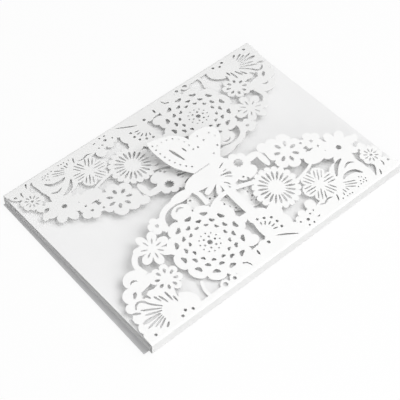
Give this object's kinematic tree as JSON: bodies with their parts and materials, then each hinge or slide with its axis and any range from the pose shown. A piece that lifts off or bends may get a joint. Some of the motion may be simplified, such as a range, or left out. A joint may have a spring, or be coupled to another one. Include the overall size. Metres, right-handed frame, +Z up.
{
  "type": "laser-cut wedding invitation",
  "caption": "Gate-fold invitation: a wrap of pearl card with two laser-cut floral lace flaps that close as a butterfly over a folded inner card and a loose sheet.",
  "frame": {"origin": "middle of the wrap's back panel, on the face it lies on", "axes": "+X along the spines, the long way; +Y from the near spine to the far one; +Z up, out of the lace"},
  "size_m": [0.1834, 0.128, 0.0185],
  "materials": {
    "pearl_card": "pearl",
    "inner_card": "smooth",
    "sheet_paper": "matt"
  },
  "bodies": {
    "root": {"lace_wrap": "pearl_card", "folded_card": "inner_card", "loose_sheet": "sheet_paper"}
  },
  "joints": []
}
